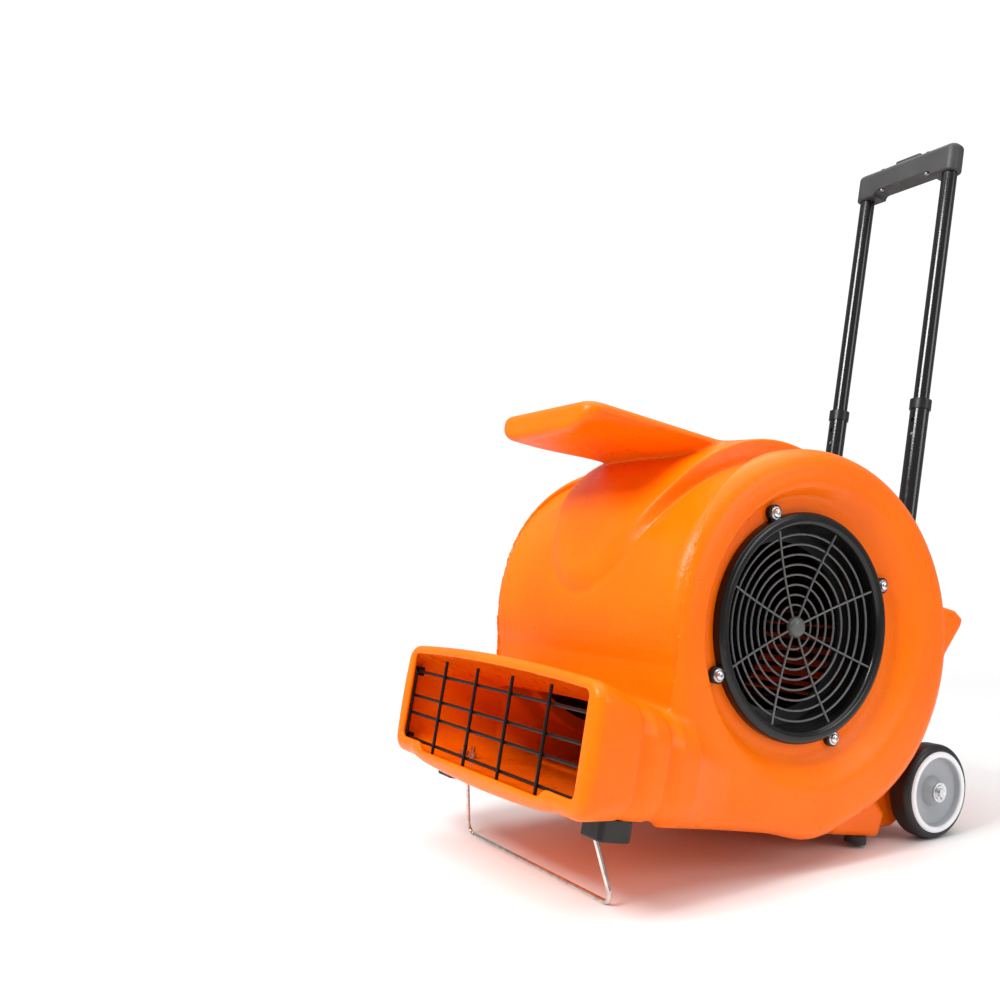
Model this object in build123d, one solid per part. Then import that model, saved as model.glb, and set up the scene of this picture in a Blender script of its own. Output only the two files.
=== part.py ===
from build123d import *
from math import cos, radians, sin
import os

# Centrifugal air mover (carpet blower) on wheels. It is modelled standing square, with the
# impeller's axis along X at the origin, the outlet towards -Y and the trolley tubes along Z.
# stand() then tilts it back onto its kickstand and wheels and puts the floor at z = 0.

# ---------------------------------------------------------------- driving dimensions, in mm
WALL = 5.0                      # moulded shell thickness
TILT = 11.1                     # lean on the kickstand, degrees

# Scroll outline: radius at an angle counted from the rear, over the top, to the front
CREST_FRONT = 211.0
CREST_REAR = 258.0
SCROLL_WIDEST = -15.0
SCROLL_POWER = 2.2
SCROLL_FIRST, SCROLL_LAST, SCROLL_STEP = 200, -60, 20
BASE_Z = -246.0                 # underside of the shell
BASE_RUN_Y = -30.0              # the scroll meets the flat underside here
BASE_FRONT_Y = -175.0

DRUM_INSET = 12.0               # drum surface below the rim's crest
RIM_INNER_X = 154.0
RIM_OUTER_X = 206.0
RIM_ROUND = 30.0
FLOOR_X = 186.0                 # flat floor of the recess round each inlet
RECESS_MOUTH = (15.0, -5.0, 178.0)     # y, z, radius where the recess opens
RECESS_FLOOR = (-2.0, 0.0, 158.0)      # y, z, radius at its floor
INLET_R = 130.0

BELT_FRONT_R = 204.0            # raised belt over the drum's top, fading out down its front
BELT_TOP_R = 233.0
BELT_TOP_ANGLE = 80.0
APRON_HALF = 130.0
APRON_TOP_Z = 235.0
APRON_DROP = 229.0

MOUTH_Y = -311.0
MOUTH_HALF = 231.0
MOUTH_TOP = -98.0
MOUTH_BOTTOM = -241.0
NOZZLE_REAR_Y = -100.0
NOZZLE_REAR_TOP = -142.0
NOZZLE_ROUND = 24.0
NOZZLE_BANDS = ((-311.0, -249.0, 0.0), (-243.0, -208.0, 4.5), (-202.0, -160.0, 8.5))
NOZZLE_GROOVE = 11.0            # depth of the grooves between the bands
NOZZLE_TAPER = 18.0             # the duct narrows towards the drum
MOUTH_OPEN_HALF = 209.0
MOUTH_OPEN_TOP = -111.0
MOUTH_OPEN_BOTTOM = -220.0
SCOOP_HALF = 150.0
SCOOP_BOTTOM = -233.0
LIP_DEPTH = 7.0

HANDLE_HALF = 105.0             # carry handle: a slab that reaches forward from a root
HANDLE_FRONT_Y = -297.0
HANDLE_REAR_Y = -20.0
HANDLE_TOP = 218.0
HANDLE_THICK = 34.0
HANDLE_ROUND = 14.0
HANDLE_ROOT_HALF = 98.0
HANDLE_ROOT_Y = (-152.0, -190.0)     # front of the root under the slab and at its foot

CONSOLE_HALF = 140.0            # rear console that carries the trolley tubes
BASE_HALF = 148.0               # rear base that carries the axle
FOOT_HALF = 166.0

TUBE_X = 77.0
TUBE_Y = 296.0
OUTER_TUBE_R = 13.5
OUTER_TUBE_BORE = 12.2
OUTER_TUBE_BOTTOM = -158.0
OUTER_TUBE_TOP = 372.0
INNER_TUBE_R = 11.2
INNER_TUBE_BORE = 9.9
HANDLE_TRAVEL = 348.0
INNER_TUBE_BOTTOM = 302.0
INNER_TUBE_TOP = 742.0
LOCK_Z = (322.0, 342.0)
PIN_R = 2.5
PIN_TIP = 11.85                 # lock pin's tip from the tube's axis, just short of the outer tube
PIN_TRAVEL = 4.0
GRIP_HALF = 92.0
GRIP_DEPTH = 15.0
GRIP_BOTTOM = 728.0
GRIP_SPLIT = 752.0
GRIP_TOP = 772.0
FINGER_HALF = 53.0
FINGER_Z = 737.0
GRIP_WALL = 3.0
BUTTON_TRAVEL = 5.0
RELEASE_BAR = (748.0, 752.0)    # z limits of the bar inside the grip

WHEEL_R = 62.5
WHEEL_Y = 291.0
WHEEL_Z = -178.0
WHEEL_OUTER_X = 190.0
WHEEL_WIDTH = 35.0
WHEEL_RIM_R = 52.0
AXLE_R = 6.0
RUNNING_GAP = 0.05              # radial clearance of every turning fit

IMPELLER_R = 126.0
IMPELLER_EYE_R = 105.0
IMPELLER_HALF = 150.0
BLADES = 44
BLADE_THICK = 1.2
SHAFT_R = 8.0
MOTOR_R = 63.0
MOTOR_REAR_X = -160.0
CAN_REAR_X = -148.0
CAN_FRONT_X = -40.0
MOTOR_FRONT_X = -28.0
PLATE_X = -166.5                # outer face of the motor plate's middle
PLATE_THICK = 2.5

RING_OUTER_R = 139.0
RING_INNER_R = 123.0
RING_FRONT_X = 199.0
RIGHT_NECK_X = 153.5            # the left neck stops at the motor's plate instead
EAR_X = 193.0                   # front of the ears, where the screws sit
RING_SCREW_R = 145.0
RING_SCREW_ANGLE = 30.0
GUARD_RINGS = 8
GUARD_FIRST_R = 27.0
GUARD_PITCH = 12.2
GUARD_WIRE_R = 1.3
GUARD_HUB_X = 175.0
GUARD_DISH = 15.0
SPOKES = 8
SPOKE_ANGLE = 30.0

GRILLE_Y = -301.8
GRILLE_WIRE_R = 2.1
GRILLE_PITCH = 84.6
GRILLE_Z = (-131.8, -164.9, -188.2, -221.8)

STAND_PIVOT = (-236.0, -251.0)  # y, z of the kickstand's hinge line
STAND_FOOT_Y = -206.0
STAND_TOP_X = 145.0
STAND_FOOT_X = 167.0
STAND_WIRE_R = 2.75
STAND_PIN_X = 182.0
BRACKET_X = (153.0, 193.0)
BRACKET_Y = (-256.0, -213.0)
FOOT_Z = -265.0                 # underside of the pivot brackets
REAR_FOOT = (150.0, 186.0)      # x, y of each rear foot
REAR_FOOT_Z = (-258.0, -236.0)  # underside and top of its peg

PLATE_Y = 232.0                 # seat of the switch plate, out from the impeller's axis
PLATE_ANGLE = 45.0
GLAND_X = -38.0
GLAND_R = 8.0

SIDES = {"right": 1, "left": -1}


# ---------------------------------------------------------------- small helpers
def side(sketch, x_from, x_to):
    """Solid along X from a sketch drawn in the Y-Z plane."""
    return extrude(Plane.YZ.offset(x_from) * sketch, x_to - x_from)


def outline(*points):
    """Closed polygon in sketch coordinates."""
    return make_face(Polyline(*points, close=True))


def disc(radius, x_from, x_to, y=0.0, z=0.0):
    """Solid cylinder along X."""
    return side(Pos(y, z) * Circle(radius), x_from, x_to)


def ring(outer, inner, x_from, x_to, y=0.0, z=0.0):
    """Hollow cylinder along X."""
    return disc(outer, x_from, x_to, y, z) - disc(inner, x_from - 1, x_to + 1, y, z)


def post(radius, x, y, z_from, z_to):
    """Solid cylinder along Z."""
    return Pos(x, y, (z_from + z_to) / 2) * Cylinder(radius, z_to - z_from)


def rod_y(radius, y_from, y_to, x=0.0, z=0.0):
    """Solid cylinder along Y."""
    return Pos(x, (y_from + y_to) / 2, z) * Rot(90, 0, 0) * Cylinder(radius, y_to - y_from)


def pipe(outer, inner, x, y, z_from, z_to):
    """Tube along Z."""
    return post(outer, x, y, z_from, z_to) - post(inner, x, y, z_from - 1, z_to + 1)


def block(x, y, z):
    """Box from pairs of limits."""
    centre = Pos((x[0] + x[1]) / 2, (y[0] + y[1]) / 2, (z[0] + z[1]) / 2)
    return centre * Box(x[1] - x[0], y[1] - y[0], z[1] - z[0])


def wire(path, radius):
    """Round wire along a path."""
    start = Plane(origin=path @ 0, z_dir=path % 0)
    return sweep(start * Circle(radius), path=path)


def about_axis(shape, count, start=0.0):
    """Copies of a shape turned about the impeller's axis."""
    return [Rot(start + 360.0 * i / count, 0, 0) * shape for i in range(count)]


def mirrored(shape):
    """The same shape on the other side of the machine."""
    return mirror(shape, about=Plane.YZ)


def on_side(shape, sign):
    """A shape drawn for the right side, kept or mirrored."""
    return shape if sign > 0 else mirrored(shape)


def both(shape):
    """A shape and its mirror image."""
    return [shape, mirrored(shape)]


# ---------------------------------------------------------------- housing
def scroll_point(angle, inset):
    share = ((1 + cos(radians(angle - SCROLL_WIDEST))) / 2) ** SCROLL_POWER
    radius = CREST_FRONT + (CREST_REAR - CREST_FRONT) * share - inset
    return (radius * cos(radians(angle)), radius * sin(radians(angle)))


def scroll_face(inset):
    """Side outline of the drum, pulled in by an inset."""
    points = [scroll_point(a, inset) for a in range(SCROLL_FIRST, SCROLL_LAST - 1, -SCROLL_STEP)]
    low = BASE_Z + inset
    first = radians(SCROLL_FIRST)
    curve = Spline(*points, (BASE_RUN_Y, low), tangents=[(sin(first), -cos(first)), (-1, 0)])
    corner = (BASE_FRONT_Y, low)
    edges = [curve, Line((BASE_RUN_Y, low), corner), Line(corner, points[0])]
    return make_face(edges)


def rim():
    """Rounded bulge round the right-hand inlet."""
    steps = ((RIM_INNER_X - 8, 22.0), (RIM_INNER_X, 10.0), (RIM_INNER_X + 8, 2.5), (RIM_INNER_X + 18, 0.0))
    sections = [Plane.YZ.offset(x) * scroll_face(inset) for x, inset in steps]
    for turn in (30, 60, 90):
        x = RIM_OUTER_X - RIM_ROUND * (1 - sin(radians(turn)))
        inset = RIM_ROUND * (1 - cos(radians(turn)))
        sections.append(Plane.YZ.offset(x) * scroll_face(inset))
    return loft(sections)


def recess():
    """Dished hollow that is cut into a rim, down to the flat floor round the inlet."""
    mouth_y, mouth_z, mouth_r = RECESS_MOUTH
    floor_y, floor_z, floor_r = RECESS_FLOOR
    sections = [
        Plane.YZ.offset(FLOOR_X) * Pos(floor_y, floor_z) * Circle(floor_r),
        Plane.YZ.offset(FLOOR_X + 4) * Pos(floor_y + 2, floor_z) * Circle(floor_r + 4),
        Plane.YZ.offset(RIM_OUTER_X - 6) * Pos(mouth_y - 2, mouth_z) * Circle(mouth_r - 3),
        Plane.YZ.offset(RIM_OUTER_X + 1) * Pos(mouth_y, mouth_z) * Circle(mouth_r + 8),
    ]
    return loft(sections, ruled=True)


def belt(inset=0.0):
    """Raised belt over the drum's top that runs down the front as a rounded bib."""
    points = []
    for angle in range(20, SCROLL_FIRST + 1, 20):
        share = ((1 + cos(radians(max(angle - BELT_TOP_ANGLE, 0)))) / 2) ** 3
        radius = BELT_FRONT_R + (BELT_TOP_R - BELT_FRONT_R) * share - inset
        points.append((radius * cos(radians(angle)), radius * sin(radians(angle))))
    curve = Spline(*points)
    half = APRON_HALF - inset
    skin = side(make_face([curve, Polyline(points[-1], (0, -20), points[0])]), -half, half)
    bib = Pos(0, APRON_TOP_Z) * Ellipse(half, APRON_DROP - inset)
    front = extrude(Plane.XZ * bib, 330)
    top = block((-half, half), (-1, 235), (60, 300))
    return skin & (front + top)


def nozzle_top(y):
    share = (y - MOUTH_Y) / (NOZZLE_REAR_Y - MOUTH_Y)
    return MOUTH_TOP + (NOZZLE_REAR_TOP - MOUTH_TOP) * share


def duct(y_from, y_to, step, wall=0.0, taper=0.0):
    """Length of the outlet duct with rounded corners and a sloping top."""
    sections = []
    for y, narrow in ((y_from, 0.0), (y_to, taper)):
        top = nozzle_top(y) - step / 2 - wall
        low = MOUTH_BOTTOM + wall
        width = 2 * (MOUTH_HALF - step - wall - narrow)
        plane = Plane.XZ.offset(-y) * Pos(0, (top + low) / 2)
        sections.append(plane * RectangleRounded(width, top - low, NOZZLE_ROUND - wall))
    return loft(sections)


def mouth_opening():
    """Opening in the front lip, with a lower scoop in the middle."""
    height = MOUTH_OPEN_TOP - MOUTH_OPEN_BOTTOM
    middle = (MOUTH_OPEN_TOP + MOUTH_OPEN_BOTTOM) / 2
    window = Pos(0, middle) * RectangleRounded(2 * MOUTH_OPEN_HALF, height, 7)
    drop = MOUTH_OPEN_BOTTOM - SCOOP_BOTTOM
    scoop = Pos(0, SCOOP_BOTTOM + drop) * RectangleRounded(2 * SCOOP_HALF, 2 * drop, 11)
    return extrude(Plane.XZ.offset(-MOUTH_Y - 30) * (window + scoop), 40)


def carry_handle(inset=0.0):
    """Slab that reaches forward from the drum's top, on a broad sloping root."""
    x = HANDLE_HALF - inset
    y = (HANDLE_FRONT_Y + inset, HANDLE_REAR_Y)
    z = (HANDLE_TOP - HANDLE_THICK + inset, HANDLE_TOP - inset)
    slab = block((-x, x), y, z)
    slab = fillet(slab.edges(), HANDLE_ROUND - inset)
    top_y, foot_y = HANDLE_ROOT_Y
    root = outline((top_y + inset, 190), (foot_y + inset, 98), (-110, 98), (-110, 190))
    return slab + side(root, -HANDLE_ROOT_HALF + inset, HANDLE_ROOT_HALF - inset)


def console_face(inset=0.0):
    """Side outline of the rear console: a wedge with a blunt tip."""
    tip = 366.0 - inset
    return outline((180, 82 - inset), (352 - inset, 73 - inset), (tip, 64 - inset), (tip - 1, 52),
                   (341 - inset, 9), (310 - inset, -62), (262, -96 + inset), (180, -70))


def foot_pad():
    """Broad sole under the rear base that carries both rear feet."""
    return side(outline((112, -205), (126, -247), (214, -247), (222, -215), (190, -190)), -FOOT_HALF, FOOT_HALF)


def base_face(inset=0.0):
    """Side outline of the rear base round the axle."""
    low = -247.0 + inset
    return outline((110, -205), (126, low), (214, low), (301 - inset, -211 + inset), (320 - inset, -193),
                   (323 - inset, -170), (310 - inset, -148 - inset), (232, -112 - inset), (150, -150))


def upper_rear(shape):
    """Turn a shape that faces +Y up to the switch plate's place on the drum."""
    return Rot(PLATE_ANGLE, 0, 0) * shape


def switch_boss():
    """Flat-topped boss under the switch plate."""
    return upper_rear(block((-62, 62), (170, PLATE_Y), (-50, 50)))


def outer_skin():
    """Outside of the shell as one solid."""
    body = side(scroll_face(DRUM_INSET), -RIM_INNER_X - 2, RIM_INNER_X + 2)
    body += belt()
    for shape in both(rim()):
        body += shape
    rear_band = NOZZLE_BANDS[-1][1]
    body += duct(MOUTH_Y, rear_band, NOZZLE_GROOVE)
    body += duct(rear_band, NOZZLE_REAR_Y, NOZZLE_GROOVE, taper=NOZZLE_TAPER)
    for y_from, y_to, step in NOZZLE_BANDS:
        body += duct(y_from, y_to, step)
    body += carry_handle()
    body += switch_boss()
    body += side(console_face(), -CONSOLE_HALF, CONSOLE_HALF)
    body += side(base_face(), -BASE_HALF, BASE_HALF) + foot_pad()
    body -= upper_rear(block((-62, 62), (PLATE_Y, PLATE_Y + 20), (-50, 50)))
    for shape in both(recess()):
        body -= shape
    return body


def rim_air():
    """Hollow inside the right-hand rim, round the recess."""
    mouth_y, mouth_z, mouth_r = RECESS_MOUTH
    face = scroll_face(WALL + 4) - Pos(mouth_y, mouth_z) * Circle(mouth_r + 14)
    return side(face, RIM_INNER_X + 14, FLOOR_X + 8)


def air_space():
    """Inside of drum, rims, outlet duct and carry handle."""
    inside_x = FLOOR_X - WALL
    rear_band = NOZZLE_BANDS[-1][1]
    air = side(scroll_face(DRUM_INSET + WALL), -inside_x, inside_x)
    for shape in both(rim_air()):
        air += shape
    air += duct(MOUTH_Y + LIP_DEPTH, rear_band, NOZZLE_GROOVE, WALL)
    air += duct(rear_band, NOZZLE_REAR_Y, NOZZLE_GROOVE, WALL, NOZZLE_TAPER)
    for y_from, y_to, step in NOZZLE_BANDS:
        air += duct(max(y_from, MOUTH_Y + LIP_DEPTH), y_to - WALL, step, WALL)
    air += carry_handle(WALL) - block((-200, 200), (-60, 100), (0, 300))
    air += belt(WALL) - switch_boss()
    air += upper_rear(block((-40, 40), (170, PLATE_Y - WALL), (-28, 28)))
    return air


def housing():
    """Rotomoulded shell: skin less the air space, the openings and two dry hollows at the rear."""
    body = outer_skin() - air_space() - mouth_opening()
    body -= disc(INLET_R, -RIM_OUTER_X, RIM_OUTER_X)
    drum = side(scroll_face(DRUM_INSET), -RIM_OUTER_X, RIM_OUTER_X)
    body -= side(console_face(WALL), -CONSOLE_HALF + WALL, CONSOLE_HALF - WALL) - drum
    body -= side(base_face(WALL), -BASE_HALF + WALL, BASE_HALF - WALL) - drum
    return drill(body)


# ---------------------------------------------------------------- holes that the housing needs
def screw_places():
    """Y and Z of the four screws that hold each inlet ring."""
    angles = [radians(RING_SCREW_ANGLE + 90 * i) for i in range(4)]
    return [(RING_SCREW_R * cos(a), RING_SCREW_R * sin(a)) for a in angles]


def drill(body):
    """Holes for tubes, axle, inlet-ring screws, bracket bolts, feet and the switch."""
    for shape in both(post(OUTER_TUBE_R + 0.1, TUBE_X, TUBE_Y, OUTER_TUBE_BOTTOM, 120)):
        body -= shape
    body -= disc(AXLE_R + 0.1, -BASE_HALF - 2, BASE_HALF + 2, WHEEL_Y, WHEEL_Z)
    for y, z in screw_places():
        for shape in both(disc(2.1, FLOOR_X - WALL - 2, FLOOR_X + 2, y, z)):
            body -= shape
    for x, y in bracket_bolt_places():
        body -= post(3.0, x, y, MOUTH_BOTTOM - 8, MOUTH_BOTTOM + 12)
    for sign in SIDES.values():
        body -= post(3.1, sign * REAR_FOOT[0], REAR_FOOT[1], BASE_Z - 3, REAR_FOOT_Z[1])
    body -= upper_rear(block((-52, 24), (170, PLATE_Y + 5), (-18, 18)))
    for x, z in panel_screw_places():
        body -= upper_rear(rod_y(1.75, PLATE_Y - 12, PLATE_Y + 2, x, z))
    return body


# ---------------------------------------------------------------- inlets
def inlet_ring(neck_x):
    """Black ring in an inlet: rounded bead, short inward neck, four ears and sockets for the spokes."""
    bead = ring(RING_OUTER_R, RING_INNER_R, FLOOR_X, RING_FRONT_X)
    bead = fillet(bead.faces().sort_by(Axis.X)[-1].edges(), 6.5)
    shape = bead + ring(INLET_R, RING_INNER_R, neck_x, FLOOR_X)
    for y, z in screw_places():
        shape += disc(10, FLOOR_X, EAR_X, y, z) - disc(RING_INNER_R + 4, FLOOR_X - 1, EAR_X + 1)
    for y, z in screw_places():
        shape -= disc(2.6, FLOOR_X - 1, EAR_X + 1, y, z) + disc(8.2, EAR_X, RING_FRONT_X + 1, y, z)
    for spoke in spokes():
        shape -= spoke
    return shape


def guard_x(radius):
    """How far out the dished guard stands at a radius."""
    return GUARD_HUB_X + GUARD_DISH * (radius / RING_INNER_R) ** 2


def spokes():
    """Arched wires from the middle of the guard into the ring."""
    lift = 1.7 * GUARD_WIRE_R
    reach = (3.0, 62.0, RING_INNER_R + 1.5)
    path = ThreePointArc(*[(guard_x(r) + lift, r, 0) for r in reach])
    return about_axis(wire(path, GUARD_WIRE_R), SPOKES, SPOKE_ANGLE)


def wire_guard():
    """Concentric wires joined by the spokes."""
    guard = None
    for i in range(GUARD_RINGS):
        radius = GUARD_FIRST_R + GUARD_PITCH * i
        loop = Pos(guard_x(radius), 0, 0) * Rot(0, 90, 0) * Torus(radius, GUARD_WIRE_R)
        guard = loop if guard is None else guard + loop
    for spoke in spokes():
        guard += spoke
    return guard


def domed(radius, x_from, x_to, rounding):
    """Short cylinder along X with a rounded front edge."""
    body = disc(radius, x_from, x_to)
    return fillet(body.faces().sort_by(Axis.X)[-1].edges(), rounding)


def guard_cap(guard):
    """Dome over the crossing of the spokes."""
    return domed(13, GUARD_HUB_X + 1, GUARD_HUB_X + 10, 7.5) - guard


def dome_screw(y, z):
    """Dome-head screw with its washer, standing on an ear of the inlet ring."""
    head = domed(6, EAR_X + 1.2, EAR_X + 6, 4.2) - disc(1.8, EAR_X + 3.6, EAR_X + 8)
    return disc(7.8, EAR_X, EAR_X + 1.2, y, z) + Pos(0, y, z) * head + disc(2.1, EAR_X - 12, EAR_X, y, z)


def guard_screws():
    return [dome_screw(y, z) for y, z in screw_places()]


# ---------------------------------------------------------------- blower
def impeller():
    """Double-inlet squirrel cage: forward-curved blades between end rings and a middle disc."""
    inner = (IMPELLER_EYE_R, 0.0)
    lean = radians(5.5)
    outer = (IMPELLER_R * cos(lean), IMPELLER_R * sin(lean))
    middle = ((inner[0] + outer[0]) / 2 + 1.0, outer[1] / 2 - 4.2)
    path = ThreePointArc(inner, middle, outer)
    strip = trace(path, line_width=BLADE_THICK)
    web = 1.0
    blade = side(strip, web - 0.3, IMPELLER_HALF - 3.7) + side(strip, -IMPELLER_HALF + 3.7, -web + 0.3)
    shapes = about_axis(blade, BLADES)
    cage = disc(IMPELLER_R - 0.5, -web, web) - disc(16, -5, 5)
    cage += ring(IMPELLER_R, IMPELLER_EYE_R - 1, IMPELLER_HALF - 4, IMPELLER_HALF)
    cage += ring(IMPELLER_R, IMPELLER_EYE_R - 1, -IMPELLER_HALF, -IMPELLER_HALF + 4)
    return cage.fuse(*[s for shape in shapes for s in shape.solids()])


def impeller_hub():
    hub = disc(24, 1.0, 5.0) + disc(15.6, -12, 26)
    hub -= disc(SHAFT_R, -20, 40)
    screw = Pos(18, 0, 12) * Cylinder(3, 9)
    return hub + (screw - disc(SHAFT_R, 0, 40))


def motor_shaft():
    return disc(SHAFT_R, MOTOR_REAR_X + 3, 30) + disc(SHAFT_R - 0.8, 30, 32)


def motor_rotor():
    return ring(34, SHAFT_R, -130, -56)


def motor_stator():
    """Laminated stack with winding ends that bulge out at both faces."""
    stack = ring(60, 35, -126, -60)
    ends = ring(54, 41, -138, -126) + ring(54, 41, -60, -48)
    return stack + ends


def motor_can():
    """Finned tube round the stator."""
    can = ring(MOTOR_R, 60, CAN_REAR_X, CAN_FRONT_X)
    for fin in about_axis(block((-138, -48), (MOTOR_R - 1, MOTOR_R + 3), (-1.5, 1.5)), 16):
        can += fin
    return can


def end_bell(x_from, x_to, seat_from, seat_to):
    """Thick motor end with a bearing seat that opens towards the windings."""
    bell = disc(63, x_from, x_to) - disc(17.5, seat_from, seat_to) - disc(SHAFT_R + 0.4, x_from - 1, x_to + 1)
    for hole in about_axis(disc(6.5, x_from - 1, x_to + 1, 44, 0), 4):
        bell -= hole
    for hole in about_axis(disc(3.1, x_from - 1, x_to + 1, 40, 0), 4, 45):
        bell -= hole
    return bell


def rear_bell():
    return end_bell(MOTOR_REAR_X, CAN_REAR_X, MOTOR_REAR_X + 2, CAN_REAR_X + 1)


def drive_bell():
    return end_bell(CAN_FRONT_X, MOTOR_FRONT_X, CAN_FRONT_X - 1, MOTOR_FRONT_X - 2)


def motor_bearings():
    """Ball bearings in both end bells."""
    rear = ring(17.5, SHAFT_R + RUNNING_GAP, MOTOR_REAR_X + 2, CAN_REAR_X)
    return [rear, ring(17.5, SHAFT_R + RUNNING_GAP, CAN_FRONT_X, MOTOR_FRONT_X - 2)]


def plate_arm():
    """Arm of the motor plate: flat over the motor, then stepped out to the wall."""
    wall, flat, t = -(FLOOR_X - WALL), PLATE_X, PLATE_THICK
    profile = outline((flat, 30), (flat, 104), (wall, 134), (wall, 150),
                      (wall + t, 150), (wall + t, 135), (flat + t, 105), (flat + t, 30))
    return Pos(0, 0, -13) * extrude(profile, 26)


def motor_plate():
    """Pressed plate inside the left wall: an outer ring, four stepped arms and a middle disc."""
    wall = -(FLOOR_X - WALL)
    plate = ring(172, 133, wall, wall + PLATE_THICK) + disc(50, PLATE_X, PLATE_X + PLATE_THICK)
    for arm in about_axis(plate_arm(), 4, 45):
        plate += arm
    plate -= disc(26, PLATE_X - 1, PLATE_X + PLATE_THICK + 1)
    for hole in about_axis(disc(3.1, PLATE_X - 1, PLATE_X + PLATE_THICK + 1, 40, 0), 4, 45):
        plate -= hole
    for y, z in screw_places():
        plate -= disc(4.0, wall - 1, wall + 5, y, z)
    return plate


def motor_bolts():
    """Long bolts that clamp the motor to the plate's arms."""
    bolt = disc(3.1, PLATE_X, CAN_REAR_X - 2, 40, 0) + disc(5.5, PLATE_X - 4.5, PLATE_X, 40, 0)
    return about_axis(bolt, 4, 45)


def motor_spacers():
    return about_axis(ring(7, 3.1, PLATE_X + PLATE_THICK, MOTOR_REAR_X, 40, 0), 4, 45)


def by_motor(shape):
    """Turn a shape drawn beside the can to the capacitor's place between two fins."""
    return Rot(78.75, 0, 0) * shape


def run_capacitor():
    return by_motor(disc(15, -132, -72, 82, 0) + disc(9, -136, -132, 82, 0))


def capacitor_clip():
    saddle = block((-108, -96), (60, 68.5), (-8, 8)) - disc(MOTOR_R, -120, -80)
    return by_motor(ring(16.2, 15, -108, -96, 82, 0) + saddle - disc(15, -132, -72, 82, 0))


# ---------------------------------------------------------------- switch and cord inlet
def panel_screw_places():
    return [(x, z) for x in (-48, 48) for z in (-36, 36)]


def switch_plate():
    plate = block((-58, 58), (PLATE_Y, PLATE_Y + 2.5), (-46, 46))
    plate = fillet(plate.edges().filter_by(Axis.Y), 8)
    plate -= rod_y(4.8, PLATE_Y - 1, PLATE_Y + 5)
    plate -= rod_y(GLAND_R, PLATE_Y - 1, PLATE_Y + 5, GLAND_X)
    for x, z in panel_screw_places():
        plate -= rod_y(2.3, PLATE_Y - 1, PLATE_Y + 5, x, z)
    return upper_rear(plate)


def switch_body():
    body = block((-22, 22), (PLATE_Y - 34, PLATE_Y), (-16, 16))
    body += rod_y(4.5, PLATE_Y, PLATE_Y + 4)
    body -= rod_y(3.0 + RUNNING_GAP, PLATE_Y - 12, PLATE_Y + 6)
    for x in (-14, -5, 5, 14):
        body += block((x - 2.4, x + 2.4), (PLATE_Y - 43, PLATE_Y - 34), (-0.6, 0.6))
    return upper_rear(body)


def speed_knob():
    knob = rod_y(19, PLATE_Y + 5, PLATE_Y + 20)
    knob = fillet(knob.edges().sort_by(Axis.Y)[-1], 2.5)
    grip = block((-4, 4), (PLATE_Y + 19, PLATE_Y + 26), (-17, 17))
    knob += fillet(grip.edges().filter_by(Axis.Y), 2)
    knob += rod_y(3.0, PLATE_Y - 11, PLATE_Y + 6)
    return upper_rear(knob)


def panel_screws():
    screws = []
    for x, z in panel_screw_places():
        face = PLATE_Y + 2.5
        shape = rod_y(3.6, face, face + 2.2, x, z) + rod_y(1.75, face - 14, face, x, z)
        screws.append(upper_rear(shape - block((x - 0.6, x + 0.6), (face + 1, face + 3), (z - 5, z + 5))))
    return screws


def cord_gland():
    """Strain relief in the switch plate, open for the cord."""
    face = PLATE_Y + 2.5
    body = rod_y(GLAND_R, PLATE_Y - 13, face, GLAND_X) + rod_y(12, face, face + 5, GLAND_X)
    nose = rod_y(6.5, face + 5, face + 24, GLAND_X)
    return upper_rear(body + nose - rod_y(4.2, PLATE_Y - 20, face + 30, GLAND_X))


def gland_nut():
    nut = Pos(GLAND_X, PLATE_Y, 0) * extrude(Plane.XZ * RegularPolygon(11, 6), 5)
    return upper_rear(nut - rod_y(GLAND_R, PLATE_Y - 40, PLATE_Y + 20, GLAND_X))


# ---------------------------------------------------------------- outlet
def grille_columns():
    return [GRILLE_PITCH * (i - 2.5) for i in range(6)]


def outlet_grille():
    """Wire grille: crossing round wires welded one behind the other."""
    rows, columns = GRILLE_Z, grille_columns()
    edge = columns[-1]
    back = GRILLE_Y + 1.7 * GRILLE_WIRE_R
    grille = None
    for x in columns:
        reach = 14.0 if abs(x) < edge - 1 else 0.0
        low, high = rows[-1] - 0.7 * reach, rows[0] + 1.5 * reach
        rod = post(GRILLE_WIRE_R, x, GRILLE_Y, low, high)
        grille = rod if grille is None else grille + rod
    for z in rows:
        grille += disc(GRILLE_WIRE_R, -edge - 5, edge + 5, back, z)
    return grille


def grille_clips():
    """Angle clips on the duct's sides that hold the ends of the grille's wires."""
    clips = []
    r = GRILLE_WIRE_R
    back = GRILLE_Y + 1.7 * r
    x = (grille_columns()[-1] - 3, MOUTH_HALF - WALL)
    for z, up in ((GRILLE_Z[0], 1), (GRILLE_Z[-1], -1)):
        pad = block(x, (back + r, back + r + 4), (z - 6, z + 6))
        jaw = block(x, (back - r, back + r), sorted((z + up * r, z + up * 6)))
        clips += both((pad + jaw) & duct(MOUTH_Y + LIP_DEPTH, MOUTH_Y + 30, 0, WALL))
    return clips


# ---------------------------------------------------------------- kickstand and feet
def bracket_bolt_places():
    return [(sign * x, -222.0) for sign in SIDES.values() for x in (163.0, 186.0)]


def stand_foot():
    """Y and Z of the kickstand's bar, level with the tyres once the machine leans back."""
    lean = radians(TILT)
    floor = WHEEL_Z * cos(lean) - WHEEL_Y * sin(lean) - WHEEL_R
    return STAND_FOOT_Y, (floor + STAND_WIRE_R + STAND_FOOT_Y * sin(lean)) / cos(lean)


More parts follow.
